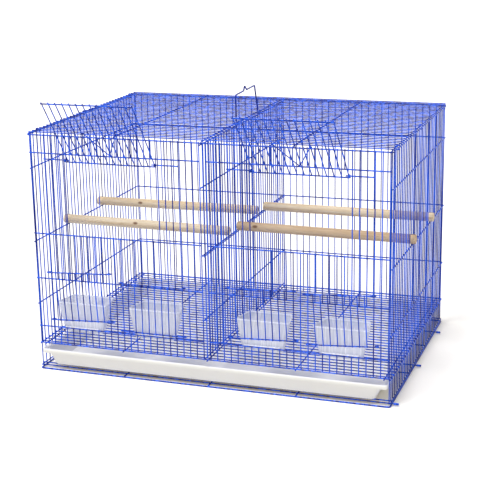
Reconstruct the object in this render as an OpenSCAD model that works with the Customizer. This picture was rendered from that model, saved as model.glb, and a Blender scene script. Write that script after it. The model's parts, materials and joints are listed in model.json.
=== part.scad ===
// Canary breeding cage: a wire cage for two compartments, with a slide-in divider,
// two flap doors, four lifting feeder doors with cups, a droppings tray and a bail handle.
// Origin: on the ground, under the middle of the cage. +X right, +Y back, +Z up.
// Heights named _h count from the floor grille; places named _z count from the ground.

/* [Cage] */
// Width of the front, between its two end wires
cage_w = 609.6; // [500:0.1:740]
// Depth of the sides, between their two end wires
cage_d = 431.8; // [355:0.1:520]
// Height of the top rails above the floor grille
wall_h = 365; // [345:1:440]
// Height of the floor grille above the ground
floor_lift = 48; // [44:0.5:60]

/* [Wire] */
// Radius of the thin upright wires
wire_r = 0.95; // [0.7:0.05:1.1]
// Radius of the rails
rail_r = 1.1; // [0.85:0.05:1.3]
// Radius of the base ring's wire
base_r = 1.3; // [1:0.1:1.6]
// Running gap between pieces that move on each other
run_gap = 0.3; // [0.2:0.05:0.4]
// Length that a wire stands past the rail it is welded to
wire_end = 1.2; // [1:0.1:1.5]

/* [Front] */
// Height of the rail over the flap doors
head_h = 335; // [325:1:340]
// Height of the sill under the flap doors
sill_h = 196; // [190:1:205]
// Height of the hinge pins of the flap doors
hinge_h = 325; // [315:1:328]
// Length of a hinge pin that stands into the doorway
pin_reach = 10; // [8:0.5:11]
// Height of the rail over the feeder doors
feeder_head_h = 117; // [112:1:122]
// Height of the rail under the feeder doors
feeder_sill_h = 31; // [27:1:33]

/* [Flap doors] */
// Distance from the hinge pins to the free rail
door_l = 132; // [132:1:136]
// Angle of each flap door from hanging shut
door_angles = [143.5, 138]; // [130:0.5:148]
// Distance of the catch's eyes from the pins
catch_eye_t = 65; // [55:1:75]
// Radius of the catch's wire
catch_r = 0.85; // [0.7:0.05:1]
// Radius of the bend at the catch's point
catch_bend = 1.5; // [1.2:0.1:2]

/* [Feeder doors] */
// Distance between the two rails of a feeder door
feeder_door_h = 84; // [84:0.5:86]
// Lift of each feeder door above its lowest place
feeder_lifts = [11, 0, 10, 12.5]; // [0:0.5:14]
// Tilt of each feeder door in its loose eyes
feeder_tilts = [2.8, 0, 2.4, 3.6]; // [0:0.1:4]
// Length of a hairpin eye outside its upright
eye_out = 5.5; // [5:0.1:6]

/* [Feeder cups] */
// Width of a cup's front at the rim
cup_front_w = 96; // [88:1:98]
// Width of a cup's back at the rim
cup_back_w = 76; // [70:1:80]
// Width that a cup loses from its rim to its foot
cup_taper_w = 22; // [16:1:24]
// Depth of a cup at the rim
cup_depth = 47; // [40:1:56]
// Depth that a cup loses from its rim to its foot
cup_taper_d = 8; // [4:1:10]
// Height of a cup's rim above the floor grille
cup_rim_h = 76; // [70:1:84]
// Height of a cup's foot above the floor grille
cup_foot_h = 25; // [22:1:27]
// Radius of a cup's upright corners
cup_corner = 5; // [4:0.5:7]
// Wall of a cup
cup_wall = 1.6; // [1.2:0.1:2]
// Width of the lip that hooks a cup on its sill rail
cup_lip_w = 62; // [50:1:66]

/* [Sides, back and divider] */
// Height of the upper rail
upper_rail_h = 307; // [290:1:312]
// Height of the rail that carries the perches
perch_rail_h = 180; // [150:1:200]
// Height of the lower rail
lower_rail_h = 70; // [60:1:90]
// Height of the divider's upper rail
divider_rail_h = 292.5; // [280:0.5:300]
// Length of the divider's rail ends in front of the cage
divider_reach = 5; // [4:0.5:8]
// Distance of the floor grille's end wires from the cage's corners
floor_edge = 6; // [5:0.5:7]

/* [Perches] */
// Radius of a perch
perch_r = 8; // [5:0.5:9]
// Length of a perch end outside the side panel
perch_out = 7; // [5:0.5:9]
// Depth of a perch's saw cut past the upright that it straddles
saw_cut_l = 2.5; // [1.5:0.5:5]

/* [Tray] */
// Height of the tray's flange below the floor grille
tray_drop = 11; // [10:0.5:13]
// Width of the tray's flange at the sides and the back
flange_w = 9; // [7:0.5:12]
// Width of the tray's flange at the front
front_flange_w = 3; // [2.5:0.5:5]
// Height of the lip that turns down from the flange
flange_lip = 6.5; // [5:0.5:8]
// Length of the flange in front of the cage's rails
tray_reach = 2.8; // [2:0.1:3]
// Slope of the tray's walls at the sides and the back, from flange to foot
tray_slope = 12; // [9:0.5:14]
// Slope of the tray's front wall
front_slope = 2.5; // [1.5:0.5:4]
// Wall of the tray
tray_wall = 2; // [1.6:0.1:2.4]
// Radius of the flange's corners
tray_corner = 6; // [5:1:16]
// Radius of the corners between the tray's walls
tray_wall_corner = 8; // [6:0.5:9]

/* [Handle] */
// Radius of the handle's wire
handle_r = 1.3; // [1:0.05:1.4]
// Height of the handle's grip above its pivot wire
grip_rise = 48; // [40:1:60]
// Height of the nick in the grip
nick_rise = 8; // [5:1:12]
// Width of the nick at its foot
nick_w = 16; // [12:1:24]
// Length of the upright foot of each leg
leg_foot = 8; // [7:0.5:12]
// Width of the slant of the back leg
leg_slant = 14; // [10:0.5:18]
// Radius of the handle's bends
handle_bend = 2.5; // [2:0.1:3]

/* [Base] */
// Distance of the base ring's front and back wires from the uprights
base_out = 4; // [3.8:0.1:5]
// Radius of the base ring's corners
ring_bend = 4; // [3:0.5:8]
// Radius of the lugs
lug_r = 1.9; // [1.6:0.1:2.1]
// Length of the lugs
lug_l = 8; // [6:0.5:12]

/* [Hidden] */
$fn = 32;
// Hair's width that parts welded wires
weld = 0.03;
// Gap at a seat or in a loose ring
seat_gap = 0.1;
// Turn of a curled wire end
eye_turn = 270;
WALLS = ["front_panel", "back_panel", "left_panel", "right_panel"];
FLATS = ["top_panel", "floor_grille", "base_frame"];
DOORS = ["door_left", "door_right", "door_catch_left", "door_catch_right"];
FEEDERS = ["feeder_door_1", "feeder_door_2", "feeder_door_3", "feeder_door_4"];
CUPS = ["feeder_cup_1", "feeder_cup_2", "feeder_cup_3", "feeder_cup_4"];
PERCHES = ["perch_left_front", "perch_left_back", "perch_right_front", "perch_right_back"];
FITTINGS = ["divider", "tray", "carry_handle", "panel_clips"];

// Gaps between the uprights: on each half of the front, on a side, and on the back
half_gaps = 25;
side_gaps = 34;
back_gaps = 48;
floor_z = floor_lift;
half_w = cage_w / 2;
front_y = -cage_d / 2;
back_y = cage_d / 2;
front_pitch = cage_w / (2 * half_gaps + 1);
side_pitch = cage_d / side_gaps;
slot_half = front_pitch / 2;
// A rail lies against the face of the uprights, and one rail lies on another
rail_off = wire_r + rail_r + weld;
rail_stack = 2 * rail_r + weld;
// The end upright of a side panel stands beside the front's end upright
side_x = half_w + 2 * wire_r + run_gap;
side_rail_x = side_x + rail_off;
corner_reach = side_x - half_w + wire_r;
front_rail_y = front_y - rail_off;
// The front's foot rail clears the floor grille's long wires, which pass under it
foot_rail_z = floor_z + rail_r - wire_r + run_gap / 2;
// Gaps of a front half, counted from its corner
door_span = [5, 19];
feeder_spans = [[2, 11], [13, 22]];
// Gaps that a hinge pin's rail spans beside its doorway
pin_gaps = 3;
// Gaps between a catch's two eyes
catch_gaps = 5;
// The base is a stack: ring, cross wires, the panels' bottom rails, tray supports
cross_z = 2 * base_r + rail_r + weld;
bottom_rail_z = cross_z + rail_stack;
support_z = bottom_rail_z + rail_stack;
tray_foot_z = support_z + rail_r + 2 * seat_gap;
base_y = cage_d / 2 + base_out;
// Places of cross wires, tray supports, clips and the handle's legs, in side gaps
cross_seats = [0.5, 14.5, 28.5];
support_seats = [0.5, 10.5, 21.5, 32.5];
clip_seats = [2.5, 16.5, 32.5];
handle_seats = [13.5, 22.5];
// Side of each perch, and the places of its outer and inner ends
perch_seats = [[-1, 10, 9.5], [-1, 21, 21.5], [1, 12, 12.5], [1, 24, 24]];
// Distance of a lug from the side's rails, and the length of wire inside it
lug_start = 4.5;
lug_bite = 1;
// The top panel hooks over the top rails
hook_r = 2 * rail_r + run_gap;
top_wire_z = floor_z + wall_h + hook_r;
clip_r = 0.8;
// Curled eyes of the flap doors, round the hinge pins
door_eye_r = 2 * rail_r + run_gap;
hinge_rail_t = door_eye_r + 2 * rail_r + weld;

function front_x(side, k) = side * (half_w - k * front_pitch);
function side_y(i) = front_y + i * side_pitch;
function inside(k, span) = k > span[0] && k < span[1];
function unit(v) = v / norm(v);
function turn_of(a, b, c) = acos(unit(b - a) * unit(c - b));
function trim_of(a, b, c, bend) = bend * tan(turn_of(a, b, c) / 2);

module wire_x(x0, x1, y, z, r) {
    translate([x0, y, z]) rotate([0, 90, 0]) cylinder(h = x1 - x0, r = r);
}

module wire_y(x, y0, y1, z, r) {
    translate([x, y1, z]) rotate([90, 0, 0]) cylinder(h = y1 - y0, r = r);
}

module wire_z(x, y, z0, z1, r) {
    translate([x, y, z0]) cylinder(h = z1 - z0, r = r);
}

// A straight wire between two points
module straight(p, q, r) {
    run = q - p;
    translate(p) rotate([0, acos(run.z / norm(run)), atan2(run.y, run.x)]) cylinder(h = norm(run), r = r);
}

// The bend of a wire at b, on its way from a to c
module bend_at(a, b, c, bend, r) {
    along = unit(b - a);
    next = unit(c - b);
    inward = unit(next - (along * next) * along);
    axis = cross(along, inward);
    middle = b - along * trim_of(a, b, c, bend) + inward * bend;
    multmatrix([
        [-inward.x, along.x, axis.x, middle.x],
        [-inward.y, along.y, axis.y, middle.y],
        [-inward.z, along.z, axis.z, middle.z],
        [0, 0, 0, 1]
    ]) rotate_extrude(angle = turn_of(a, b, c)) translate([bend, 0]) circle(r);
}

// A wire bent at each inner point of its path. A hair's width parts its runs from its bends.
module bent_wire(path, bend, r) {
    last = len(path) - 1;
    for (i = [0:last - 1]) {
        way = unit(path[i + 1] - path[i]);
        start = i == 0 ? 0 : trim_of(path[i - 1], path[i], path[i + 1], bend) + weld;
        stop = i == last - 1 ? 0 : trim_of(path[i], path[i + 1], path[i + 2], bend) + weld;
        straight(path[i] + way * start, path[i + 1] - way * stop, r);
    }
    for (i = [1:last - 1]) bend_at(path[i - 1], path[i], path[i + 1], bend, r);
}

// Uprights of the front, cut where a doorway or a feeder opening is
module front_uprights(side) {
    for (k = [0:half_gaps]) {
        feeder = inside(k, feeder_spans[0]) || inside(k, feeder_spans[1]);
        cuts = concat(
            feeder ? [feeder_sill_h + wire_end, feeder_head_h - wire_end] : [],
            inside(k, door_span) ? [sill_h + wire_end, head_h - wire_end] : []
        );
        ends = [foot_rail_z - wire_end, floor_z + wall_h + wire_end];
        stops = concat(ends[0], [for (h = cuts) floor_z + h], ends[1]);
        for (i = [0:2:len(stops) - 1]) wire_z(front_x(side, k), front_y, stops[i], stops[i + 1], wire_r);
    }
}

// Short rails welded on four uprights beside a doorway: the flap door hangs on their ends
module hinge_pins(side) {
    z = floor_z + hinge_h;
    first = door_span[0];
    last = door_span[1];
    outer = [front_x(side, first - pin_gaps) + side * wire_end, front_x(side, first) - side * pin_reach];
    inner = [front_x(side, last) + side * pin_reach, front_x(side, last + pin_gaps) - side * wire_end];
    for (ends = [outer, inner]) wire_x(min(ends), max(ends), front_rail_y, z, rail_r);
}

module front_panel() {
    color([0.35, 0.42, 0.85]) {
        reach = half_w + corner_reach;
        for (side = [-1, 1]) {
            front_uprights(side);
            hinge_pins(side);
            ends = [side * reach, side * (slot_half - wire_end)];
            for (h = [head_h, sill_h, feeder_head_h, feeder_sill_h])
                wire_x(min(ends), max(ends), front_rail_y, floor_z + h, rail_r);
        }
        for (z = [floor_z + wall_h, foot_rail_z]) wire_x(-reach, reach, front_rail_y, z, rail_r);
    }
}

// Heights of the rails on the sides and the back
function panel_rails() = [
    bottom_rail_z, floor_z - rail_off, floor_z + lower_rail_h, floor_z + perch_rail_h,
    floor_z + upper_rail_h, floor_z + wall_h
];

module panel_upright(x, y) {
    wire_z(x, y, bottom_rail_z - wire_end, floor_z + wall_h + wire_end, wire_r);
}

module back_panel() {
    color([0.35, 0.42, 0.85]) {
        reach = half_w + corner_reach;
        for (k = [0:back_gaps]) panel_upright(-half_w + k * cage_w / back_gaps, back_y);
        for (z = panel_rails()) wire_x(-reach, reach, back_y + rail_off, z, rail_r);
    }
}

module side_panel(side) {
    color([0.35, 0.42, 0.85]) {
        reach = cage_d / 2 + wire_r - seat_gap;
        for (i = [0:side_gaps]) panel_upright(side * side_x, side_y(i));
        for (z = panel_rails()) wire_y(side * side_rail_x, -reach, reach, z, rail_r);
    }
}

// A long wire whose two ends hook down over the front and back top rails
module hooked_wire(x) {
    drop = floor_z + wall_h - wire_r / 2;
    front = front_rail_y - hook_r;
    back = back_y + rail_off + hook_r;
    path = [[x, front, drop], [x, front, top_wire_z], [x, back, top_wire_z], [x, back, drop]];
    bent_wire(path, hook_r, rail_r);
}

module top_panel() {
    color([0.4, 0.47, 0.88]) {
        for (x = [-side_x, -cage_w / 4, 0, cage_w / 4, side_x]) hooked_wire(x);
        for (i = [0:side_gaps])
            wire_x(-side_x - wire_end, side_x + wire_end, side_y(i), top_wire_z + rail_off, wire_r);
    }
}

module floor_grille() {
    color([0.45, 0.5, 0.88]) {
        for (i = [0:side_gaps - 1])
            wire_x(-side_rail_x - wire_end, side_rail_x + wire_end, side_y(i + 0.5), floor_z, wire_r);
        for (x = [-half_w + floor_edge, -cage_w / 4, 0, cage_w / 4, half_w - floor_edge])
            wire_y(x, front_rail_y - 2 * wire_r, back_y - wire_r - run_gap, floor_z - rail_off, rail_r);
    }
}

module base_frame() {
    color([0.3, 0.36, 0.8]) {
        x = side_rail_x;
        y = base_y;
        ring = [[0, -y], [x, -y], [x, y], [-x, y], [-x, -y], [0, -y]];
        bent_wire([for (p = ring) [p.x, p.y, base_r]], ring_bend, base_r);
        for (rib_x = [-cage_w / 4, 0, cage_w / 4])
            wire_y(rib_x, -y + base_r + weld, y - base_r - weld, cross_z - rail_stack, rail_r);
        for (i = cross_seats) {
            wire_x(-x - wire_end, x + lug_start + lug_bite, side_y(i), cross_z, rail_r);
            wire_x(x + lug_start, x + lug_start + lug_l, side_y(i), cross_z, lug_r);
        }
        for (i = support_seats) wire_x(-x - wire_end, x + wire_end, side_y(i), support_z, rail_r);
    }
}

// A closed ring round the top panel's edge wire and the side's top rail
module clip_ring(side, y) {
    middle_x = (side_x + side_rail_x) / 2;
    middle_z = top_wire_z - hook_r / 2;
    reach = norm([side_rail_x - side_x, hook_r]) / 2;
    translate([side * middle_x, y, middle_z]) rotate([90, 0, 0])
        rotate_extrude() translate([reach + rail_r + seat_gap + clip_r, 0]) circle(clip_r);
}

module panel_clips() {
    color([0.3, 0.36, 0.8]) for (side = [-1, 1], i = clip_seats) clip_ring(side, side_y(i));
}

// A slide-in wall. Its perch rail is double, so that a perch end rests on each face.
// Each rail ends at the front in a small thick bead.
module divider() {
    bead = [-2, 1];
    bead_r = rail_r + 0.15;
    color([0.4, 0.47, 0.88]) {
        low_z = foot_rail_z + 2 * rail_r + run_gap;
        high_z = floor_z + wall_h - 2 * (rail_r + run_gap);
        tail_y = back_y - wire_r - run_gap;
        nose_y = front_rail_y - rail_r - divider_reach;
        for (i = [0:side_gaps - 1]) wire_z(0, side_y(i), low_z - wire_end, high_z + wire_end, wire_r);
        wire_z(0, tail_y - wire_end, low_z - wire_end, high_z + wire_end, wire_r);
        perch_z = floor_z + perch_rail_h;
        rails = [[-1, low_z], [-1, floor_z + lower_rail_h], [-1, perch_z], [1, perch_z],
            [-1, floor_z + divider_rail_h], [-1, high_z]];
        for (rail = rails) {
            wire_y(rail[0] * rail_off, nose_y, tail_y, rail[1], rail_r);
            wire_y(rail[0] * rail_off, nose_y + bead[0], nose_y + bead[1], rail[1], bead_r);
        }
    }
}

// Flap door, drawn hanging shut with its pins' axis on X through the origin.
// The curled eyes at the ends of its hinge rail turn on the pins.
module door_shut(side) {
    bar_y = -(rail_r + wire_r + run_gap);
    spots = [for (j = [door_span[0]:door_span[1] - 1]) front_x(side, j + 0.5)];
    low_x = min(spots);
    high_x = max(spots);
    for (x = spots) wire_z(x, bar_y, -door_l - wire_end, hinge_rail_t + wire_end, wire_r);
    for (x = [low_x - rail_off, high_x + rail_off])
        translate([x, 0, 0]) rotate([0, -90, 0]) rotate([0, 0, -90])
            rotate_extrude(angle = eye_turn) translate([door_eye_r, 0]) circle(rail_r);
    wire_x(low_x - wire_end, high_x + wire_end, bar_y + rail_off, -door_l, rail_r);
    wire_x(low_x - rail_off - rail_r, high_x + rail_off + rail_r, bar_y + rail_off, hinge_rail_t, rail_r);
}

// V-shaped wire on the flap door. Its point bears on the head rail and holds the door up.
module catch_shut(side, angle) {
    bar_y = -(rail_r + wire_r + run_gap);
    ring_r = wire_r + catch_r + seat_gap;
    middle = (door_span[0] + door_span[1]) / 2;
    rest = head_h - hinge_h + rail_r + catch_r + run_gap;
    point = [front_x(side, middle), -rest * sin(angle), rest * cos(angle)];
    eyes = [for (k = [middle - catch_gaps / 2, middle + catch_gaps / 2])
        [front_x(side, k), bar_y - ring_r, -catch_eye_t]];
    way = unit(point - (eyes[0] + eyes[1]) / 2);
    spare = catch_bend / cos(turn_of(eyes[0], point, eyes[1]) / 2) - catch_bend;
    tip = point + way * spare;
    starts = [for (eye = eyes) eye + unit(tip - eye) * (catch_r + weld)];
    bent_wire([starts[0], tip, starts[1]], catch_bend, catch_r);
    for (eye = eyes)
        translate([eye.x, bar_y, eye.z]) rotate([0, 0, -90])
            rotate_extrude(angle = eye_turn) translate([ring_r, 0]) circle(catch_r);
}

module hang_door(side) {
    angle = door_angles[side < 0 ? 0 : 1];
    translate([0, front_rail_y, floor_z + hinge_h]) rotate([-angle, 0, 0]) children();
}

module flap_door(side) {
    color([0.35, 0.42, 0.85]) hang_door(side) door_shut(side);
}

module door_catch(side) {
    color([0.3, 0.36, 0.8]) hang_door(side) catch_shut(side, door_angles[side < 0 ? 0 : 1]);
}

// Feeder openings from left to right: the side of the front, and the span of gaps
function feeder_side(n) = n < 2 ? -1 : 1;
function feeder_span(n) = feeder_spans[n == 0 || n == 3 ? 0 : 1];
function feeder_edges(n) = [
    min(front_x(feeder_side(n), feeder_span(n)[0]), front_x(feeder_side(n), feeder_span(n)[1])),
    max(front_x(feeder_side(n), feeder_span(n)[0]), front_x(feeder_side(n), feeder_span(n)[1]))
];
function feeder_middle(n) = (feeder_edges(n)[0] + feeder_edges(n)[1]) / 2;

// Feeder door: its rails' hairpin ends ride on the two uprights beside the opening
module feeder_door(n) {
    low_z = floor_z + feeder_head_h + 2 * rail_r + run_gap - feeder_door_h + feeder_lifts[n];
    ride_y = wire_r + rail_r + run_gap;
    edge = feeder_edges(n)[1] - feeder_middle(n);
    out_x = edge + eye_out;
    bars = feeder_span(n)[1] - feeder_span(n)[0] - 1;
    tail_x = edge - 1.5 * wire_r;
    color([0.3, 0.38, 0.85])
        translate([feeder_middle(n), front_y, low_z + feeder_door_h / 2]) rotate([0, -feeder_tilts[n], 0]) {
            for (z = [-feeder_door_h / 2, feeder_door_h / 2])
                bent_wire([
                    [-tail_x, ride_y, z], [-out_x, ride_y, z], [-out_x, -ride_y, z],
                    [out_x, -ride_y, z], [out_x, ride_y, z], [tail_x, ride_y, z]
                ], ride_y - 2 * weld, rail_r);
            for (j = [1:bars])
                wire_z(-edge + j * front_pitch, -ride_y - rail_off, -feeder_door_h / 2 - wire_end,
                    feeder_door_h / 2 + wire_end, wire_r);
        }
}

// Outline of a cup between foot and rim, drawn in by its wall thickness
module cup_block(inset, foot_z, rim_z) {
    slice = 0.5;
    corner = cup_corner;
    function corners(shrink, depth) = [
        [-(cup_front_w - shrink) / 2 + corner, corner],
        [(cup_front_w - shrink) / 2 - corner, corner],
        [(cup_back_w - shrink) / 2 - corner, depth - corner],
        [-(cup_back_w - shrink) / 2 + corner, depth - corner]
    ];
    hull() {
        for (p = corners(cup_taper_w, cup_depth - cup_taper_d))
            translate([p.x, p.y, foot_z]) cylinder(h = slice, r = corner - inset);
        for (p = corners(0, cup_depth))
            translate([p.x, p.y, rim_z - slice]) cylinder(h = slice, r = corner - inset);
    }
}

// Clear feeder cup. Its lip lies over the sill rail of its opening, under the lowered door's rail.
module feeder_cup(n) {
    wall_y = front_y + wire_r + run_gap;
    tip_y = front_rail_y - rail_r - run_gap;
    lip_z = floor_z + feeder_sill_h + rail_r + run_gap;
    color([0.9, 0.88, 0.96, 0.6]) {
        translate([feeder_middle(n), wall_y, 0]) difference() {
            cup_block(0, floor_z + cup_foot_h, floor_z + cup_rim_h);
            cup_block(cup_wall, floor_z + cup_foot_h + cup_wall, floor_z + cup_rim_h + 1);
        }
        translate([feeder_middle(n) - cup_lip_w / 2, tip_y, lip_z])
            cube([cup_lip_w, wall_y - tip_y + cup_wall / 2, cup_wall]);
    }
}

// Dowel with square-cut ends. A saw cut in its outer end straddles an upright of the side.
module perch(n) {
    side = perch_seats[n][0];
    outer_y = side_y(perch_seats[n][1]);
    inner_y = side_y(perch_seats[n][2]);
    z = floor_z + perch_rail_h + rail_r + perch_r + seat_gap / 2;
    outer_x = side_x + wire_r + perch_out;
    inner_x = wire_r + run_gap + seat_gap / 2;
    slope = (outer_y - inner_y) / side_x;
    spare = 2 * perch_r + perch_out;
    cut_x = side_x - wire_r - saw_cut_l;
    cut_r = wire_r + run_gap;
    color([0.85, 0.75, 0.6]) difference() {
        intersection() {
            straight(
                [-side * spare, inner_y - spare * slope, z],
                [side * (side_x + spare), outer_y + spare * slope, z],
                perch_r
            );
            translate([side > 0 ? inner_x : -outer_x, front_y, z - 2 * perch_r])
                cube([outer_x - inner_x, cage_d, 4 * perch_r]);
        }
        translate([side > 0 ? cut_x : -outer_x - 1, outer_y - cut_r, z - 2 * perch_r])
            cube([outer_x - cut_x + 1, 2 * cut_r, 4 * perch_r]);
    }
}

// Rounded block of the tray: half width, front and back, foot, height and corner
module tray_block(half_x, y0, y1, z, h, corner) {
    for (x = [-half_x + corner, half_x - corner], y = [y0 + corner, y1 - corner])
        translate([x, y, z]) cylinder(h = h, r = corner);
}

// Outlines of the tray are drawn in from its flange: by a width at the sides and the back,
// and by another at the front
module tray_slice(inset, front_inset, z, h, corner) {
    half_x = side_x - wire_r - 3 * run_gap;
    y0 = front_rail_y - rail_r - tray_reach;
    y1 = back_y - wire_r - 3 * run_gap;
    tray_block(half_x - inset, y0 + front_inset, y1 - inset, z, h, corner);
}

module tray() {
    rim_z = floor_z - tray_drop;
    w = tray_wall;
    foot_w = flange_w + tray_slope;
    front_foot_w = front_flange_w + front_slope;
    foot_corner = tray_wall_corner - w;
    color([0.93, 0.92, 0.9]) difference() {
        union() {
            hull() tray_slice(0, 0, rim_z - w, w, tray_corner);
            difference() {
                hull() tray_slice(0, 0, rim_z - flange_lip, flange_lip - w / 2, tray_corner);
                hull() tray_slice(w, w, rim_z - flange_lip - 1, flange_lip, tray_corner - w);
            }
            hull() {
                tray_slice(flange_w, front_flange_w, rim_z - w, w / 2, tray_wall_corner);
                tray_slice(foot_w, front_foot_w, tray_foot_z, w, foot_corner);
            }
        }
        hull() {
            tray_slice(flange_w + w, front_flange_w + w, rim_z, 1, tray_wall_corner - w);
            tray_slice(foot_w + w, front_foot_w + w, tray_foot_z + w, w, foot_corner - w);
        }
    }
}

// Bail handle: the curled ends of its legs turn on the top panel's middle wire
module carry_handle() {
    legs = [for (i = handle_seats) side_y(i)];
    grip_z = top_wire_z + grip_rise;
    ring_r = rail_r + handle_r + run_gap;
    nick_y = (legs[0] + legs[1]) / 2 - nick_w / 2;
    grip_slope = 1;
    nick_lean = 2;
    outline = [
        [legs[0], top_wire_z],
        [legs[0], grip_z - grip_slope],
        [nick_y - nick_w / 2, grip_z],
        [nick_y - nick_lean, grip_z + nick_rise],
        [nick_y + nick_w / 2, grip_z],
        [legs[1] - leg_slant, grip_z + grip_slope],
        [legs[1], top_wire_z + leg_foot],
        [legs[1], top_wire_z]
    ];
    color([0.2, 0.26, 0.62]) {
        bent_wire([for (p = outline) [-ring_r, p.x, p.y]], handle_bend, handle_r);
        for (y = legs)
            translate([0, y, top_wire_z - weld]) rotate([90, 0, 0]) rotate([0, 0, 180])
                rotate_extrude(angle = eye_turn) translate([ring_r, 0]) circle(handle_r);
    }
}

front_panel();
back_panel();
side_panel(-1);  // left_panel
side_panel(1);  // right_panel
top_panel();
floor_grille();
base_frame();
flap_door(-1);  // door_left
flap_door(1);  // door_right
door_catch(-1);  // door_catch_left
door_catch(1);  // door_catch_right
for (n = [0:3]) feeder_door(n);
for (n = [0:3]) feeder_cup(n);
for (n = [0:3]) perch(n);
divider();
tray();
carry_handle();
panel_clips();
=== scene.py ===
"""Looks of the canary breeding cage: painted wire, wooden perches, clear cups and a moulded tray."""
import json
import math
import random

import bmesh
import bpy
import numpy as np
from mathutils import Matrix, Vector, kdtree


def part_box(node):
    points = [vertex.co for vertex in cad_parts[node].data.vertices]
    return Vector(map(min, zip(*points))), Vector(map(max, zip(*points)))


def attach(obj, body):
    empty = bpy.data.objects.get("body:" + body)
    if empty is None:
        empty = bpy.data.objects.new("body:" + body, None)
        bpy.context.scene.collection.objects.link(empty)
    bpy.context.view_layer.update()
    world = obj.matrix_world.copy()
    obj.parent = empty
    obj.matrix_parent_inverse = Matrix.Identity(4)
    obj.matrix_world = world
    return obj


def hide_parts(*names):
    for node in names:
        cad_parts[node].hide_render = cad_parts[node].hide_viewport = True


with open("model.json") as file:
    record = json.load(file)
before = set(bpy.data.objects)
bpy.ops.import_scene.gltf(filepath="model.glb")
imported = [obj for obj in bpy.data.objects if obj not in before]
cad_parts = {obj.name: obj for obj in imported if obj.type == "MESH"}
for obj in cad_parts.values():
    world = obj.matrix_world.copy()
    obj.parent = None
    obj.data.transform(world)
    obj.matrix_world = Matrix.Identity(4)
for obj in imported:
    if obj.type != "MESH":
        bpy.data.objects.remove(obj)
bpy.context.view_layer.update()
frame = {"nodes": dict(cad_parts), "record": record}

# ---------------------------------------------------------------- Studio
# The cage stands on a sweep of white paper, seen from its right and a little above.
# One soft lamp hangs over it, a little to the left and the front, and an even white
# room fills in the rest. The paper throws back slightly warm light, and its warm glow is painted warm
# light in its shadows.
scene = bpy.context.scene
scene.view_settings.view_transform = "Standard"

camera_place = Vector((0.717, -2.072, 0.799))
camera_azimuth = math.radians(-19.47)
camera_dip = math.radians(15.37)
camera_roll = math.radians(-1.08)
camera_lens = 95.7
camera_film = 36

ahead = Vector((
    math.sin(camera_azimuth) * math.cos(camera_dip),
    math.cos(camera_azimuth) * math.cos(camera_dip),
    -math.sin(camera_dip),
))
level = Vector((math.cos(camera_azimuth), -math.sin(camera_azimuth), 0))
above = level.cross(ahead)
camera_right = level * math.cos(camera_roll) + above * math.sin(camera_roll)
camera_up = above * math.cos(camera_roll) - level * math.sin(camera_roll)
camera_turn = Matrix((camera_right, camera_up, -ahead)).transposed().to_4x4()
camera = bpy.data.objects.new("camera", bpy.data.cameras.new("camera"))
camera.data.sensor_width = camera_film
camera.data.lens = camera_lens
camera.matrix_world = Matrix.Translation(camera_place) @ camera_turn
scene.collection.objects.link(camera)
scene.camera = camera


def shade(red, green, blue):
    """A colour as a paint chart gives it, 0 to 255, in the light units that shaders use."""
    shares = [c / 255 for c in (red, green, blue)]
    return (*(s / 12.92 if s <= 0.04045 else ((s + 0.055) / 1.055) ** 2.4 for s in shares), 1)


class Flow:
    """A value that flows out of a shader node. Sums and products of flows add their Math nodes."""

    def __init__(self, nodes, socket):
        self.nodes = nodes
        self.socket = socket

    def math(self, operation, first, second):
        return self.nodes.add("Math", {"operation": operation}, {0: first, 1: second})

    def highest(self, other):
        return self.math("MAXIMUM", self, other)

    def __add__(self, other):
        return self.math("ADD", self, other)

    def __sub__(self, other):
        return self.math("SUBTRACT", self, other)

    def __rsub__(self, other):
        return self.math("SUBTRACT", other, self)

    def __mul__(self, other):
        return self.math("MULTIPLY", self, other)

    __radd__ = __add__
    __rmul__ = __mul__


class Finish:
    """The nodes round a surface's or the room's shader, and one method that adds any node."""

    def __init__(self, owner, shader="Principled BSDF", even=None):
        owner.use_nodes = True
        self.owner = owner
        self.tree = owner.node_tree
        self.shader = self.tree.nodes[shader]
        for socket, value in (even or {}).items():
            self.shader.inputs[socket].default_value = value

    def add(self, kind, settings, inputs, output=0):
        """Adds a node. Its settings are set first, then the value or the link of each socket."""
        node = self.tree.nodes.new("ShaderNode" + kind)
        for setting, value in settings.items():
            setattr(node, setting, value)
        for socket, value in inputs.items():
            self.join(node.inputs[socket], value)
        return Flow(self, node.outputs[output])

    def join(self, socket, value):
        if isinstance(value, Flow):
            self.tree.links.new(value.socket, socket)
        else:
            socket.default_value = value

    def place(self):
        return self.add("TexCoord", {}, {}, "Object")

    def stretched(self, x, y, z):
        """Places on the surface, drawn out or squeezed along each axis."""
        return self.add("VectorMath", {"operation": "MULTIPLY"}, {0: self.place(), 1: (x, y, z)})

    def noise(self, scale, detail, place=None):
        inputs = {"Vector": place or self.place(), "Scale": scale, "Detail": detail}
        return self.add("TexNoise", {}, inputs)

    def smooth(self, value, low, high):
        """0 below low, 1 above high and smooth between."""
        limits = {"Value": value, "From Min": low, "From Max": high}
        return self.add("MapRange", {"interpolation_type": "SMOOTHSTEP"}, limits)

    def mix(self, low, high, share):
        return self.add("Mix", {"data_type": "RGBA"}, {0: share, 6: low, 7: high}, 2)

    def bump(self, height, depth):
        return self.add("Bump", {}, {"Height": height, "Distance": depth, "Strength": 1.0})

    def done(self, varying):
        for socket, value in varying.items():
            self.join(self.shader.inputs[socket], value)
        return self.owner


def surface(name, **even):
    """A new finish for a surface. Underscores in its values' names stand for spaces."""
    sockets = {key.replace("_", " "): value for key, value in even.items()}
    return Finish(bpy.data.materials.new(name), even=sockets)


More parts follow.
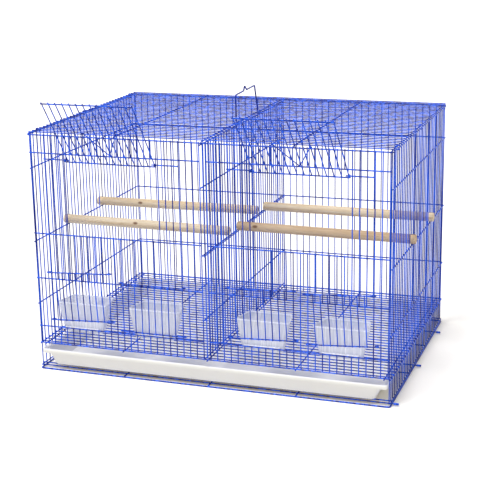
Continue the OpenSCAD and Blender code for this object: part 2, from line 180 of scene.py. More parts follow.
room_colour = (1, 1, 1, 1)
room_light = 0.58
scene.world = bpy.data.worlds.new("room")
room = Finish(scene.world, "Background", {"Color": room_colour})
seen = room.add("LightPath", {}, {}, "Is Camera Ray")
for ray in ("Is Glossy Ray", "Is Transmission Ray"):
    seen = seen.highest(room.add("LightPath", {}, {}, ray))
room.done({"Strength": room_light + seen * (1 - room_light)})

# The camera sees the paper whiter than the light that it throws back on the cage.
paper_seen = shade(248, 248, 248)
paper_bounce = shade(234, 232, 228)
# The paper's glow, seen only by the camera, is painted warm light that lifts its shadows to beige.
paper_glow = 0.18
paper_glow_colour = shade(255, 238, 198)
no_glow = shade(0, 0, 0)
sweep_half = 30
paper = surface("paper", Roughness=1.0, Specular_IOR_Level=0.0, Emission_Strength=paper_glow)
looked_at = paper.add("LightPath", {}, {}, "Is Camera Ray")
paper_finish = paper.done({
    "Base Color": paper.mix(paper_bounce, paper_seen, looked_at),
    "Emission Color": paper.mix(no_glow, paper_glow_colour, looked_at),
})
sweep_mesh = bpy.data.meshes.new("sweep")
sweep_corners = [(x * sweep_half, y * sweep_half, 0) for x, y in ((-1, -1), (1, -1), (1, 1), (-1, 1))]
sweep_mesh.from_pydata(sweep_corners, [], [(0, 1, 2, 3)])
sweep_mesh.materials.append(paper_finish)
sweep = bpy.data.objects.new("sweep", sweep_mesh)
scene.collection.objects.link(sweep)

lamp_power = 2.45
lamp_softness = math.radians(24)
lamp_from = Vector((-0.28, -0.30, 1.0))
lamp = bpy.data.objects.new("lamp", bpy.data.lights.new("lamp", "SUN"))
lamp.data.energy = lamp_power
lamp.data.angle = lamp_softness
lamp.rotation_euler = lamp_from.to_track_quat("Z", "Y").to_euler()
scene.collection.objects.link(lamp)

# ---------------------------------------------------------------- Front panel
# A mat of steel wires, spot-welded where they cross and dipped in blue paint.
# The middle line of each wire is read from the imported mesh, and a new wire is drawn along
# it, with rounded ends, a slight bow and a cushion of paint in every weld.
sharp = math.radians(40)
same_corner = 0.000001
same_radius = 0.000001
same_spot = 0.0001
flat_share = 0.98
# A bend of a whole number of steps is always given one step more.
arc_step = math.radians(18)
step_slack = 0.01
body_of = {node: body for body, nodes in frame["record"]["behaviour"]["bodies"].items() for node in nodes}


def unit(v):
    return v / np.linalg.norm(v)


def smooth_patches(node):
    """The smooth patches of a CAD node's mesh: each one's faces and the edges round it."""
    mesh = bmesh.new()
    mesh.from_mesh(frame["nodes"][node].data)
    bmesh.ops.remove_doubles(mesh, verts=mesh.verts, dist=same_corner)
    done = set()
    for seed in mesh.faces:
        if seed in done:
            continue
        done.add(seed)
        patch, rim, waiting = [], [], [seed]
        while waiting:
            face = waiting.pop()
            patch.append(face)
            for edge in face.edges:
                if edge.calc_face_angle(math.pi) > sharp:
                    rim.append(edge)
                    continue
                fresh = [f for f in edge.link_faces if f not in done]
                done.update(fresh)
                waiting.extend(fresh)
        yield patch, rim
    mesh.free()


def corners_of(patch):
    """The corners of a patch's faces, each once and in the order of the faces."""
    return np.array([v.co for v in dict.fromkeys(v for f in patch for v in f.verts)])


def rim_loops(rim):
    """The corners of each closed loop of edges."""
    left = {}
    for edge in rim:
        a, b = edge.verts
        left.setdefault(a, []).append(b)
        left.setdefault(b, []).append(a)
    while left:
        loop, waiting = [], [next(iter(left))]
        while waiting:
            corner = waiting.pop()
            if corner in left:
                loop.append(np.array(corner.co))
                waiting.extend(left.pop(corner))
        yield np.array(loop)


def square_to(loop):
    """The direction square to a flat loop of points."""
    return np.linalg.svd(loop - loop.mean(0))[2][2]


def arc_between(loops, corners):
    """The middle line of a bent stretch of wire between its two end loops."""
    ends = [loop.mean(0) for loop in loops]
    squares = [square_to(loop) for loop in loops]
    axle = unit(np.cross(*squares))
    inward = [np.cross(axle, square) for square in squares]
    steps = np.linalg.lstsq(np.array([inward[0], -inward[1]]).T, ends[1] - ends[0], rcond=None)[0]
    centre = ends[0] + steps[0] * inward[0]
    spoke = ends[0] - centre
    middle = corners.mean(0) - centre
    side = np.cross(axle, spoke)
    if side @ middle < 0:
        side = -side
    sweep_angle = 2 * math.atan2(side @ middle, spoke @ middle)
    count = max(3, math.ceil(sweep_angle / arc_step + step_slack) + 1)
    return [centre + spoke * math.cos(a) + side * math.sin(a) for a in np.linspace(0, sweep_angle, count)]


def stretches_of(node):
    """Every round stretch of wire in a CAD node: its middle line and its radius."""
    for patch, rim in smooth_patches(node):
        area = sum(f.calc_area() for f in patch)
        lean = sum((np.array(f.normal) * f.calc_area() for f in patch), np.zeros(3))
        loops = list(rim_loops(rim))
        if len(loops) != 2 or np.linalg.norm(lean) > flat_share * area:
            continue
        corners = corners_of(patch)
        ends = [loop.mean(0) for loop in loops]
        radius = np.linalg.norm(loops[0] - ends[0], axis=1).mean()
        straight_run = len(corners) == len(loops[0]) + len(loops[1])
        yield (np.array(ends if straight_run else arc_between(loops, corners)), radius)


def wires_of(node):
    """A CAD node's wires, each joined from its stretches: its points, radii and whether it closes."""
    parts = list(stretches_of(node))
    tree = kdtree.KDTree(2 * len(parts))
    for i, (line, _) in enumerate(parts):
        tree.insert(line[0], 2 * i)
        tree.insert(line[-1], 2 * i + 1)
    tree.balance()
    mate = {}
    for i, (line, _) in enumerate(parts):
        for end, spot in ((2 * i, line[0]), (2 * i + 1, line[-1])):
            near = [k for _, k, _ in tree.find_range(spot, same_spot) if k // 2 != i]
            if near:
                mate[end] = near[0]
    starts = [end for end in range(2 * len(parts)) if end not in mate] + list(range(0, 2 * len(parts), 2))
    used = set()
    for start in starts:
        if start // 2 in used:
            continue
        points, radii, end = [], [], start
        while end is not None and end // 2 not in used:
            used.add(end // 2)
            line, radius = parts[end // 2]
            line = line if end % 2 == 0 else line[::-1]
            skip = 1 if points and abs(radii[-1] - radius) < same_radius else 0
            points.extend(line[skip:])
            radii.extend([radius] * (len(line) - skip))
            end = mate.get(end ^ 1)
        closed = end is not None and end // 2 == start // 2
        yield np.array(points), np.array(radii), closed


class Shape:
    """The corners and faces of a piece, gathered while it is drawn."""

    def __init__(self):
        self.corners = []
        self.faces = []
        self.slots = []

    def take(self, corners, faces, slot=0):
        first = len(self.corners)
        self.corners.extend(corners)
        self.faces.extend([tuple(first + c for c in face) for face in faces])
        self.slots.extend([slot] * len(faces))

    def piece(self, name, node, slot, *finishes):
        """Makes the piece, which stands for its CAD node and moves with that node's body."""
        mesh = bpy.data.meshes.new(name)
        mesh.from_pydata([tuple(c) for c in self.corners], [], self.faces)
        for finish in finishes:
            mesh.materials.append(finish)
        mesh.polygons.foreach_set("material_index", self.slots)
        mesh.polygons.foreach_set("use_smooth", [True] * len(self.faces))
        mesh.set_sharp_from_angle(angle=sharp)
        made = bpy.data.objects.new(name, mesh)
        scene.collection.objects.link(made)
        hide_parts(node)
        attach(made, body_of[node])
        return made


def ring_faces(first, second, count):
    """The faces between two rings of corners, which start at the numbers given."""
    ends = [(k, (k + 1) % count) for k in range(count)]
    return [(first + k, first + after, second + after, second + k) for k, after in ends]


wire_sides = 10
off_every_axis = (0.31, 0.52, 0.79)


def draw_tube(shape, points, radii, closed):
    """A round wire along a line of points. An open one is capped at both ends."""
    sides = wire_sides
    if closed:
        points, radii = points[:-1], radii[:-1]
    ahead_of = np.roll(points, -1, axis=0) - np.roll(points, 1, axis=0)
    if not closed:
        ahead_of[0] = points[1] - points[0]
        ahead_of[-1] = points[-1] - points[-2]
    across = np.cross(ahead_of[0], off_every_axis)
    rings = []
    turns = np.linspace(0, 2 * math.pi, sides, endpoint=False)
    for point, radius, way in zip(points, radii, ahead_of):
        way = unit(way)
        across = unit(across - way * (across @ way))
        other = np.cross(way, across)
        rings.extend(point + radius * (across * math.cos(t) + other * math.sin(t)) for t in turns)
    faces = []
    for i in range(len(points) - 1):
        faces.extend(ring_faces(i * sides, (i + 1) * sides, sides))
    last = (len(points) - 1) * sides
    if closed:
        faces.extend(ring_faces(last, 0, sides))
    else:
        rings.extend([points[0], points[-1]])
        tip = len(rings) - 2
        faces.extend((tip, (k + 1) % sides, k) for k in range(sides))
        faces.extend((tip + 1, last + k, last + (k + 1) % sides) for k in range(sides))
    shape.take(rings, faces)


# Shares of the wire's radius: how far from its cut end, and how wide it is there.
end_round = [(0.0, 0.5), (0.12, 0.79), (0.35, 0.95), (0.75, 1.0)]


def round_ends(points, radii):
    """Draws the paint round both cut ends of a wire."""
    for _ in range(2):
        way = unit(points[1] - points[0])
        radius = radii[0]
        if np.linalg.norm(points[1] - points[0]) > radius:
            cap = [points[0] + way * radius * back for back, _ in end_round]
            points = np.concatenate([cap, points[1:]])
            radii = np.concatenate([[radius * wide for _, wide in end_round], radii[1:]])
        points, radii = points[::-1], radii[::-1]
    return points, radii


# The second bow is the S that a wire has besides its plain bow, as a share of it.
bow_most = 0.00045
bow_second = 0.4
bow_step = 0.035
bow_points = 4
bow_shortest = 0.06
bow_in_mat = 0.5


def bowed(points, radii, flat, dice):
    """Gives a long straight wire the slight bow it has in its mat."""
    run = points[-1] - points[0]
    length = np.linalg.norm(run)
    sideways = np.cross(run, flat)
    if len(points) > 2 or length < bow_shortest or np.linalg.norm(sideways) < bow_in_mat * length:
        return points, radii
    share = np.linspace(0, 1, max(bow_points, round(length / bow_step)))
    bow = bow_most * dice.uniform(-1, 1) * np.sin(math.pi * share)
    bow += bow_most * bow_second * dice.uniform(-1, 1) * np.sin(2 * math.pi * share)
    line = points[0] + np.outer(share, run) + np.outer(bow, unit(sideways))
    return line, np.full(len(share), radii[0])


weld_slack = 0.0001
weld_sink = weld_slack / 8
weld_shortest = 0.003
weld_spread = 0.5
never_zero = 1e-9


def crossings(wires):
    """Where two straight runs cross and touch: the spot, both directions, the way between and a radius."""
    runs = [
        (p, q, r) for points, radii, _ in wires
        for p, q, r in zip(points[:-1], points[1:], radii) if np.linalg.norm(q - p) > weld_shortest
    ]
    start = np.array([p for p, _, _ in runs])
    length = np.array([np.linalg.norm(q - p) for p, q, _ in runs])
    way = np.array([q - p for p, q, _ in runs]) / length[:, None]
    radius = np.array([r for _, _, r in runs])
    for i in range(len(runs) - 1):
        apart = start[i] - start[i + 1:]
        lean = way[i + 1:] @ way[i]
        spread = np.maximum(1 - lean ** 2, never_zero)
        along_other = apart[:, None, :] @ way[i + 1:, :, None]
        along_other = along_other[:, 0, 0]
        along_own = apart @ way[i]
        own = (lean * along_other - along_own) / spread
        other = (along_other - lean * along_own) / spread
        gap = (start[i] + np.outer(own, way[i])) - (start[i + 1:] + other[:, None] * way[i + 1:])
        reach = radius[i] + radius[i + 1:]
        touches = (
            (np.abs(np.linalg.norm(gap, axis=1) - reach) < weld_slack) & (spread > weld_spread)
            & (own > 0) & (own < length[i]) & (other > 0) & (other < length[i + 1:])
        )
        for j in np.nonzero(touches)[0]:
            between = unit(gap[j])
            spot = start[i] + own[j] * way[i] - between * (radius[i] + weld_sink)
            yield spot, way[i], way[i + 1 + j], between, min(radius[i], radius[i + 1 + j])


# A bead's length along the wires and its depth between them, as shares of the wire's radius.
bead_sides = 8
bead_rings = 5
bead_long = 1.22
bead_deep = 0.62
bead_spread = 0.18


def draw_bead(shape, spot, first, second, between, radius, dice):
    """The little cushion of paint that fills a weld."""
    size = radius * (1 + bead_spread * dice.uniform(-1, 1))
    corners = [spot + between * size * bead_deep, spot - between * size * bead_deep]
    for ring in range(1, bead_rings):
        tilt = math.pi * ring / bead_rings
        out, up = bead_long * math.sin(tilt), bead_deep * math.cos(tilt)
        for k in range(bead_sides):
            turn = 2 * math.pi * k / bead_sides
            flat = first * math.cos(turn) + second * math.sin(turn)
            corners.append(spot + size * (flat * out + between * up))
    last = 2 + (bead_rings - 2) * bead_sides
    faces = [(0, 2 + k, 2 + (k + 1) % bead_sides) for k in range(bead_sides)]
    faces += [(1, last + (k + 1) % bead_sides, last + k) for k in range(bead_sides)]
    for ring in range(bead_rings - 2):
        faces.extend(ring_faces(2 + (ring + 1) * bead_sides, 2 + ring * bead_sides, bead_sides))
    shape.take(corners, faces, 1)


paint_cloud = (150, 150, 9)
paint_speck = 650
paint_pinhole = 1400
pinhole_dark = 0.35
coat_peel, coat_peel_deep = 1900, 0.00003
weld_peel, weld_peel_deep = 2600, 0.00005


def wire_finish(name, deep, light, peel, peel_deep):
    """Glossy dipped paint on steel wire, with a fine orange peel. Its cloudy tone is partly the coat's
    uneven thickness and partly painted shade and sheen.
    """
    paint = surface(name, IOR=1.5, Specular_IOR_Level=0.2, Coat_Roughness=0.10, Coat_IOR=1.5)
    cloud_and_painted_shading = paint.noise(1.0, 2, paint.stretched(*paint_cloud))
    speck = paint.noise(paint_speck, 2)
    # The mix from deep to light paint by this tone is partly the coat's uneven thickness and partly
    # painted shade and sheen, dark and bright streaks along the wires.
    tone = paint.smooth(cloud_and_painted_shading * 0.8 + speck * 0.2, 0.36, 0.64)
    pinhole = paint.smooth(paint.noise(paint_pinhole, 1), 0.74, 0.80)
    pinhole_colour = (*(c * pinhole_dark for c in deep[:3]), 1)
    return paint.done({
        "Base Color": paint.mix(paint.mix(deep, light, tone), pinhole_colour, pinhole * 0.6),
        "Roughness": 0.30 + speck * 0.16 + pinhole * 0.2,
        "Coat Weight": 0.04 + cloud_and_painted_shading * 0.16,
        "Normal": paint.bump(paint.noise(peel, 2), peel_deep),
    })


wire_coat = wire_finish("wire_coat", shade(9, 36, 138), shade(38, 104, 246), coat_peel, coat_peel_deep)
weld_coat = wire_finish("weld_coat", shade(8, 28, 122), shade(28, 84, 222), weld_peel, weld_peel_deep)


def wire_piece(node, name, slot="blue_wire", coat=wire_coat, weld=weld_coat):
    """A welded mat or a bent wire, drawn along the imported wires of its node."""
    dice = random.Random(node)
    low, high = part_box(node)
    flat = np.zeros(3)
    flat[min(range(3), key=lambda axis: high[axis] - low[axis])] = 1
    wires = list(wires_of(node))
    shape = Shape()
    for line, widths, closed in wires:
        if not closed:
            line, widths = bowed(line, widths, flat, dice)
            line, widths = round_ends(line, widths)
        draw_tube(shape, line, widths, closed)
    for cross in crossings(wires):
        draw_bead(shape, *cross, dice)
    shape.piece(name, node, slot, coat, weld)


wire_piece("front_panel", "front_mat")

# ---------------------------------------------------------------- Back and side panels
# Three more welded mats of painted steel wire. Their rails lie outside the uprights,
# and the uprights' cut ends stand a little past the top and bottom rails.
for side in ("back", "left", "right"):
    wire_piece(side + "_panel", side + "_mat")

# ---------------------------------------------------------------- Top panel
# A welded mat that closes the cage. Five long wires with hooked ends lie over the front
# and back top rails, and thirty-five cross wires are welded on top of them.
wire_piece("top_panel", "top_mat")

# ---------------------------------------------------------------- Floor grille
# A welded mat of cross wires on five long wires, which keeps the birds off the tray.
# The cross wires' ends lie on a rail of each side panel.
wire_piece("floor_grille", "floor_mat")

# ---------------------------------------------------------------- Base frame
# A ring of thicker wire that the cage stands on, with cross wires and tray supports
# welded to it. Three cross wires end on the right in a thick lug.
wire_piece("base_frame", "base_ring")

# ---------------------------------------------------------------- Flap doors and their catches
# Small welded mats that swing up on the curled eyes at the ends of their hinge rails.
# A V of thin wire on each slides on two of the door's bars and holds the door up.
for side in ("left", "right"):
    wire_piece("door_" + side, "flap_" + side)
    wire_piece("door_catch_" + side, "catch_" + side)

# ---------------------------------------------------------------- Feeder doors
# Four small welded mats over the feeder openings. Their rails end in hairpins round
# two uprights of the front panel, so that they slide up.
for number in range(1, 5):
    wire_piece(f"feeder_door_{number}", f"feeder_flap_{number}")

# ---------------------------------------------------------------- Divider
# A slide-in wall of welded wire between the two compartments.
# Its rails stick out at the front and end in small thick beads.
wire_piece("divider", "divider_mat")

# ---------------------------------------------------------------- Carry handle
# A bail of springy steel wire with a nick for a hook, painted a darker blue.
# Its curled feet turn on the top panel's middle wire.
handle_coat = wire_finish("handle_coat", shade(8, 20, 96), shade(26, 58, 176), coat_peel, coat_peel_deep)
wire_piece("carry_handle", "bail", "dark_wire", handle_coat, handle_coat)

# ---------------------------------------------------------------- Panel clips
# Six open rings of soft painted wire. Each is pinched round the top panel's edge wire
# and the top rail of a side, with its mouth to the outside.
clip_mouth = math.radians(26)
clip_steps = 26


def clip_rings(node):
    """The middle, radius and wire radius of each closed ring in a CAD node."""
    for patch, _ in smooth_patches(node):
        corners = corners_of(patch)
        low, high = corners.min(0), corners.max(0)
        wire = (high[1] - low[1]) / 2
        yield (low + high) / 2, (high[0] - low[0]) / 2 - wire, wire


clips = Shape()
for middle, radius, wire in clip_rings("panel_clips"):
    outward = 0 if middle[0] > 0 else math.pi
    turns = np.linspace(outward + clip_mouth, outward + 2 * math.pi - clip_mouth, clip_steps)
    line = np.array([middle + radius * np.array((math.cos(t), 0, math.sin(t))) for t in turns])
    draw_tube(clips, *round_ends(line, np.full(clip_steps, wire)), False)
clips.piece("clips", "panel_clips", "blue_wire", weld_coat)

# ---------------------------------------------------------------- Perches
# Planed dowels of pale wood, sawn off square, that lie on the side's and the divider's rails.
# A saw cut in the outer end straddles an upright. Each dowel has its own grain, and three
# have a small knot.
perch_sides = 40
perch_chamfer = 0.0006
perch_shy = 0.00005
perch_flats = 0.00006
perch_rings = np.linspace(0.04, 0.96, 14)
saw_cut_l = 0.0114
saw_cut_w = 0.0025
upright_r = 0.00095
upright_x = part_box("right_panel")[0].x + upright_r

pore_colour = shade(150, 112, 82)
knot_colour = shade(112, 74, 52)
knot_core = 0.0022
knot_edge = 0.0045
knot_ragged = 0.002
knot_squeeze = 0.55
grain_deep = 0.00016


def wood_finish(name, pale, dark, knots):
    """Planed wood: fibres and bands along the dowel, fine pores, and brown knots at the given spots."""
    wood = surface(name, IOR=1.45, Specular_IOR_Level=0.35)
    fibre = wood.noise(1.0, 3, wood.stretched(14, 420, 420))
    band = wood.noise(1.0, 2, wood.stretched(5, 110, 150))
    pores = wood.smooth(wood.noise(1.0, 2, wood.stretched(60, 1500, 1500)), 0.58, 0.72)
    tone = wood.smooth(band * 0.65 + fibre * 0.35, 0.34, 0.68)
    colour = wood.mix(wood.mix(pale, dark, tone), pore_colour, pores * 0.35)
    for x, y, z in knots:
        ends = {0: wood.stretched(knot_squeeze, 1, 1), 1: (x * knot_squeeze, y, z)}
        away = wood.add("VectorMath", {"operation": "DISTANCE"}, ends, "Value")
        core = 1 - wood.smooth(away + band * knot_ragged, knot_core, knot_edge)
        colour = wood.mix(colour, knot_colour, core * 0.85)
    return wood.done({
        "Base Color": colour,
        "Roughness": 0.62 + fibre * 0.2,
        "Normal": wood.bump(fibre * 0.6 - pores * 0.5 + band * 0.3, grain_deep),
    })


def end_middle(node, x):
    """The middle across Y of a node's corners at one end."""
    across = [v.co.y for v in frame["nodes"][node].data.vertices if abs(v.co.x - x) < same_spot]
    return (min(across) + max(across)) / 2


def saw(perch, middle, deep, finish):
    """Saws the cut that straddles an upright, centred on a perch's outer end."""
    blade_shape = bmesh.new()
    bmesh.ops.create_cube(blade_shape, size=1)
    blade_size = Matrix.Diagonal((2 * saw_cut_l, saw_cut_w, deep, 1))
    blade_shape.transform(Matrix.Translation(middle) @ blade_size)
    blade_mesh = bpy.data.meshes.new("saw")
    blade_shape.to_mesh(blade_mesh)
    blade_shape.free()
    blade_mesh.materials.append(finish)
    blade = bpy.data.objects.new("saw", blade_mesh)
    scene.collection.objects.link(blade)
    cut = perch.modifiers.new("saw_cut", "BOOLEAN")
    cut.operation = "DIFFERENCE"
    cut.object = blade
    sawn = bpy.data.meshes.new_from_object(perch.evaluated_get(bpy.context.evaluated_depsgraph_get()))
    perch.modifiers.clear()
    perch.data = sawn
    bpy.data.objects.remove(blade)
    sawn.set_sharp_from_angle(angle=sharp)


def draw_perch(node, name, finish, dice):
    """A dowel with a small chamfer at both ends and faint flats from the plane."""
    low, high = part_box(node)
    radius = (high.z - low.z) / 2 - perch_shy
    middle_z = (low.z + high.z) / 2
    outer_x, inner_x = (high.x, low.x) if high.x + low.x > 0 else (low.x, high.x)
    span = outer_x - inner_x
    out = 1 if span > 0 else -1
    ends = {x: end_middle(node, x) for x in (inner_x, outer_x)}
    slope = (ends[outer_x] - ends[inner_x]) / span
    stretch = math.hypot(1, slope)
    stations = [(inner_x, -perch_chamfer), (inner_x + out * perch_chamfer, 0)]
    stations += [(inner_x + span * share, 0) for share in perch_rings]
    stations += [(outer_x - out * perch_chamfer, 0), (outer_x, -perch_chamfer)]
    flats = [dice.uniform(-1, 1) * perch_flats for _ in range(perch_sides)]
    corners, faces = [], []
    for x, step in stations:
        middle_y = ends[inner_x] + slope * (x - inner_x)
        for k in range(perch_sides):
            turn = 2 * math.pi * k / perch_sides * out
            r = radius + step + flats[k] - perch_flats
            corners.append((x, middle_y + r * stretch * math.cos(turn), middle_z + r * math.sin(turn)))
    last = (len(stations) - 1) * perch_sides
    for first in range(0, last, perch_sides):
        faces.extend(ring_faces(first, first + perch_sides, perch_sides))
    faces.append(tuple(reversed(range(perch_sides))))
    faces.append(tuple(range(last, last + perch_sides)))
    shape = Shape()
    shape.take(corners, faces)
    perch = shape.piece(name, node, "perch_wood", finish)
    slot_y = ends[inner_x] + slope * (out * upright_x - inner_x)
    saw(perch, (outer_x, slot_y, middle_z), 4 * radius, finish)


# Each perch's name, pale and dark wood, and the places of its knots.
perch_woods = {
    "perch_left_front": (
        "dowel_left_front", shade(235, 221, 195), shade(217, 192, 156), [(-0.174, -0.0991, 0.2399)],
    ),
    "perch_left_back": (
        "dowel_left_back", shade(242, 226, 196), shade(216, 189, 150), [(-0.227, 0.0450, 0.2395)],
    ),
    "perch_right_front": (
        "dowel_right_front", shade(217, 193, 161), shade(189, 157, 121), [(0.035, -0.0653, 0.2399)],
    ),
    "perch_right_back": (
        "dowel_right_back", shade(242, 226, 196), shade(216, 186, 144), [],
    ),
}
for node, (name, pale, dark, knots) in perch_woods.items():
    draw_perch(node, name, wood_finish(name, pale, dark, knots), random.Random(node))

# ---------------------------------------------------------------- Feeder cups
# Thin troughs of clear frosty plastic, drawn in towards the foot, with a rolled rim
# and a flat lip that lies over the sill rail of the feeder opening.
cup_back_w = 0.076
cup_taper_w = 0.022
cup_taper_d = 0.008
cup_depth = 0.047
cup_wall = 0.0016
cup_corner = 0.005
cup_least_corner = 0.0008
cup_foot_round = 0.0022
cup_foot_steps = 4
cup_inner_foot_round = cup_foot_round * 1.4
cup_rim_steps = 5
cup_wall_shares = (0.25, 0.5, 0.75, 0.93)
lip_w = 0.062
lip_top = 0.0820
lip_edge = 0.0004
lip_corner = 0.0012
lip_edge_corner = 0.0008
lip_corner_steps = 3
corner_steps = 6


def rounded_outline(corners, radius, steps=corner_steps):
    """A four-sided outline with round corners, as points at the same share of each corner."""
    outline = []
    for i, corner in enumerate(corners):
        here = Vector(corner)
        before = (Vector(corners[i - 1]) - here).normalized()
        after = (Vector(corners[(i + 1) % len(corners)]) - here).normalized()
        half = before.angle(after) / 2
        centre = here + (before + after).normalized() * (radius / math.sin(half))
        start = math.atan2(*(here + before * (radius / math.tan(half)) - centre).yx)
        stop = math.atan2(*(here + after * (radius / math.tan(half)) - centre).yx)
        turn = (stop - start + math.pi) % (2 * math.pi) - math.pi
        angles = [start + turn * k / steps for k in range(steps + 1)]
        outline.extend(centre + radius * Vector((math.cos(a), math.sin(a))) for a in angles)
    return outline


def draw_loft(shape, rings):
    """Skins a stack of outlines with the same number of points, and closes both ends."""
    count = len(rings[0])
    last = (len(rings) - 1) * count
    faces = []
    for first in range(0, last, count):
        faces.extend(ring_faces(first, first + count, count))
    faces.append(tuple(reversed(range(count))))
    faces.append(tuple(range(last, last + count)))
    shape.take([corner for ring in rings for corner in ring], faces)


cup_milk = 0.52
cup_highlight_streak = 0.20
cup_rim_highlight_band = 0.0028
cup_low, cup_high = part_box("feeder_cup_1")

cup_plastic = surface("cup_plastic", IOR=1.49, Specular_IOR_Level=0.6)
frost = cup_plastic.noise(60, 3)
# Whiter, more solid streaks: painted highlights on the clear plastic.
highlight_streak = cup_plastic.smooth(cup_plastic.noise(1.0, 2, cup_plastic.stretched(260, 260, 22)), 0.45, 0.75)
height = cup_plastic.add("SeparateXYZ", {}, {0: cup_plastic.place()}, "Z")
# A more solid band at the rim and at the foot: painted bright edges of the clear plastic.
rim_highlight_band = cup_plastic.smooth(height, cup_high.z - cup_rim_highlight_band, cup_high.z - cup_rim_highlight_band * 0.6)
foot_highlight_band = 1 - cup_plastic.smooth(height, cup_low.z + cup_wall, cup_low.z + cup_wall * 1.8)
cup_finish = cup_plastic.done({
    "Base Color": cup_plastic.mix(shade(236, 240, 255), shade(255, 255, 255), frost * 0.3 + highlight_streak * 0.7),
    "Roughness": 0.16 + frost * 0.2,
    "Alpha": cup_milk + highlight_streak * cup_highlight_streak + rim_highlight_band * 0.28 + foot_highlight_band * 0.2,
    "Normal": cup_plastic.bump(frost * 0.4 + highlight_streak * 0.6, 0.00015),
})


def cup_levels(foot_z, rim_z):
    """The levels of a cup, up its outside, over its rim and down its inside.

    Each is a share, 0 at the foot and 1 at the rim, how far the wall is drawn in, and a height."""
    tall = rim_z - foot_z
    foot_turns = [math.pi / 2 * k / cup_foot_steps for k in range(cup_foot_steps + 1)]
    levels = []
    for turn in foot_turns:
        rise = cup_foot_round * (1 - math.cos(turn))
        levels.append((rise / tall, cup_foot_round * (1 - math.sin(turn)), foot_z + rise))
    levels += [(share, 0, foot_z + tall * share) for share in cup_wall_shares]
    rim = cup_wall / 2
    for k in range(cup_rim_steps + 1):
        turn = math.pi * k / cup_rim_steps
        levels.append((1 - rim / tall, rim - rim * math.cos(turn), rim_z - rim + rim * math.sin(turn)))
    levels += [(share, cup_wall, foot_z + tall * share) for share in reversed(cup_wall_shares)]
    for turn in foot_turns:
        inward = cup_wall + cup_inner_foot_round * (1 - math.cos(turn))
        levels.append((0, inward, foot_z + cup_wall + cup_inner_foot_round * (1 - math.sin(turn))))
    return levels


def cup_ring(middle_x, wall_y, front_w, share, shy, z):
    """One level of a cup as an outline."""
    narrow = cup_taper_w * (1 - share)
    deep = cup_depth - cup_taper_d * (1 - share)
    front = (front_w - narrow) / 2 - shy
    back = (cup_back_w - narrow) / 2 - shy
    corners = [(-front, shy), (front, shy), (back, deep - shy), (-back, deep - shy)]
    outline = rounded_outline(corners, max(cup_corner - shy, cup_least_corner))
    return [(middle_x + p.x, wall_y + p.y, z) for p in outline]


def lip_ring(middle_x, front_y, back_y, shy, z):
    """One level of the flat lip as an outline. Its back edge runs into the cup's wall."""
    half = lip_w / 2 - shy
    corners = [(-half, front_y + shy), (half, front_y + shy), (half, back_y), (-half, back_y)]
    outline = rounded_outline(corners, lip_edge_corner if shy else lip_corner, lip_corner_steps)
    return [(middle_x + p.x, p.y, z) for p in outline]


lip_low = lip_top - cup_wall
lip_levels = [(lip_edge, lip_low), (0, lip_low + lip_edge), (0, lip_top - lip_edge), (lip_edge, lip_top)]
for number in range(1, 5):
    node = f"feeder_cup_{number}"
    low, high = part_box(node)
    middle_x = (low.x + high.x) / 2
    wall_y = high.y - cup_depth
    cup = Shape()
    levels = cup_levels(low.z, high.z)
    draw_loft(cup, [cup_ring(middle_x, wall_y, high.x - low.x, *level) for level in levels])
    draw_loft(cup, [lip_ring(middle_x, low.y, wall_y + cup_wall / 2, *level) for level in lip_levels])
    cup.piece(f"cup_{number}", node, "cup_plastic", cup_finish)

# ---------------------------------------------------------------- Droppings tray
# One moulding of off-white plastic that slides on the base frame. A flat flange runs round
# it and turns down at its edge; the walls lean in to a flat floor, with soft corners.
tray_flange = 0.009
tray_front_flange = 0.003
tray_lip = 0.0065
tray_slope = 0.012
tray_front_slope = 0.0025
tray_wall = 0.002
tray_corner = 0.006
tray_foot_corner = 0.007
tray_corner_steps = 8
tray_edge = 0.0012
tray_foot_round = 2 * tray_edge
tray_low, tray_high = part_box("tray")


def tray_ring(inset, front_inset, z):
    """An outline of the tray, from its inset at the sides, its inset at the front and its height."""
    share = min(inset / (tray_flange + tray_slope), 1)
    corner = tray_corner + (tray_foot_corner - tray_corner) * share
    x, y0, y1 = tray_high.x - inset, tray_low.y + front_inset, tray_high.y - inset
    outline = rounded_outline([(-x, y0), (x, y0), (x, y1), (-x, y1)], corner, tray_corner_steps)
    return [(p.x, p.y, z) for p in outline]


def turned_edge(inset, front_inset, z, radius, start, stop, steps=4):
    """A round edge of the tray's section: levels on an arc from one angle to another."""
    turns = [math.radians(start + (stop - start) * k / steps) for k in range(steps + 1)]
    arc = [(radius * math.cos(t), radius * math.sin(t)) for t in turns]
    return [(inset + out, front_inset + out, z + up) for out, up in arc]


# The tray's section goes from the flange's turned-down edge over the top to the floor,
# and then from the floor's underside back to that edge.
rim_z = tray_high.z
foot_z = tray_low.z
lip_z = rim_z - tray_lip
flange_under_z = rim_z - tray_wall
flange_root_z = flange_under_z - tray_edge / 2
side_foot = tray_flange + tray_slope
front_foot = tray_front_flange + tray_front_slope
floor_in = tray_wall + tray_foot_round
flange_in = tray_wall - tray_edge

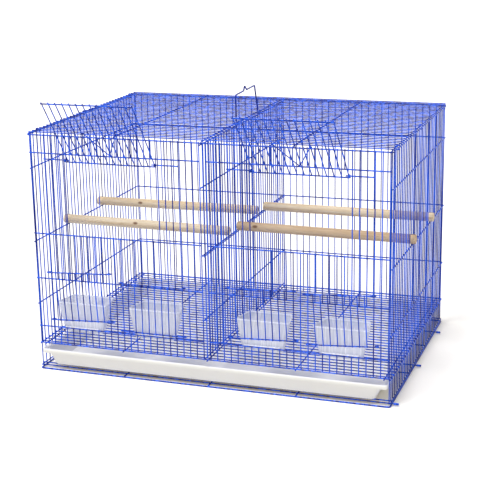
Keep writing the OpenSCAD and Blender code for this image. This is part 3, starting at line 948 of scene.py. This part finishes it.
section = [
    (tray_wall * 0.6, tray_wall * 0.6, lip_z),
    (tray_edge / 3, tray_edge / 3, lip_z),
    (0, 0, lip_z + tray_edge / 2),
]
section += turned_edge(tray_edge, tray_edge, rim_z - tray_edge, tray_edge, 180, 90)
section += turned_edge(
    tray_flange + flange_in, tray_front_flange + flange_in, rim_z - tray_edge, tray_edge, 90, 12,
)
section += turned_edge(
    side_foot + floor_in, front_foot + floor_in, foot_z + floor_in, tray_foot_round, 200, 270, 5,
)
upper = len(section)
section.append((side_foot + 2 * tray_foot_round, front_foot + 2 * tray_foot_round, foot_z))
section += turned_edge(
    side_foot + tray_foot_round, front_foot + tray_foot_round, foot_z + tray_foot_round,
    tray_foot_round, 270, 196,
)
section += [
    (tray_flange, tray_front_flange, flange_root_z),
    (tray_flange - tray_edge / 2, tray_front_flange - tray_edge / 2, flange_under_z),
    (tray_wall * 0.9, tray_wall * 0.9, flange_under_z),
    (tray_wall * 0.7, tray_wall * 0.7, flange_root_z),
]

tray_plastic = surface("tray_plastic", IOR=1.49, Specular_IOR_Level=0.45)
mottle = tray_plastic.noise(18, 3)
grain = tray_plastic.noise(1400, 2)
scratch_place = tray_plastic.stretched(25, 900, 900)
scratch = tray_plastic.smooth(tray_plastic.noise(1.0, 2, scratch_place), 0.66, 0.8)
tray_tone = mottle * 0.8 + grain * 0.2
tray_finish = tray_plastic.done({
    "Base Color": tray_plastic.mix(shade(240, 238, 231), shade(249, 248, 243), tray_tone),
    "Roughness": 0.36 + grain * 0.14 + scratch * 0.1,
    "Normal": tray_plastic.bump(grain * 0.6 - scratch * 0.4, 0.00006),
})

rings = [tray_ring(*level) for level in section]
count = len(rings[0])
faces = []
for i in range(len(rings)):
    if i + 1 != upper:
        faces.extend(ring_faces(((i + 1) % len(rings)) * count, i * count, count))
faces.append(tuple(range((upper - 1) * count, upper * count)))
faces.append(tuple(reversed(range(upper * count, (upper + 1) * count))))
tray = Shape()
tray.take([corner for ring in rings for corner in ring], faces)
tray.piece("droppings_tray", "tray", "tray_plastic", tray_finish)
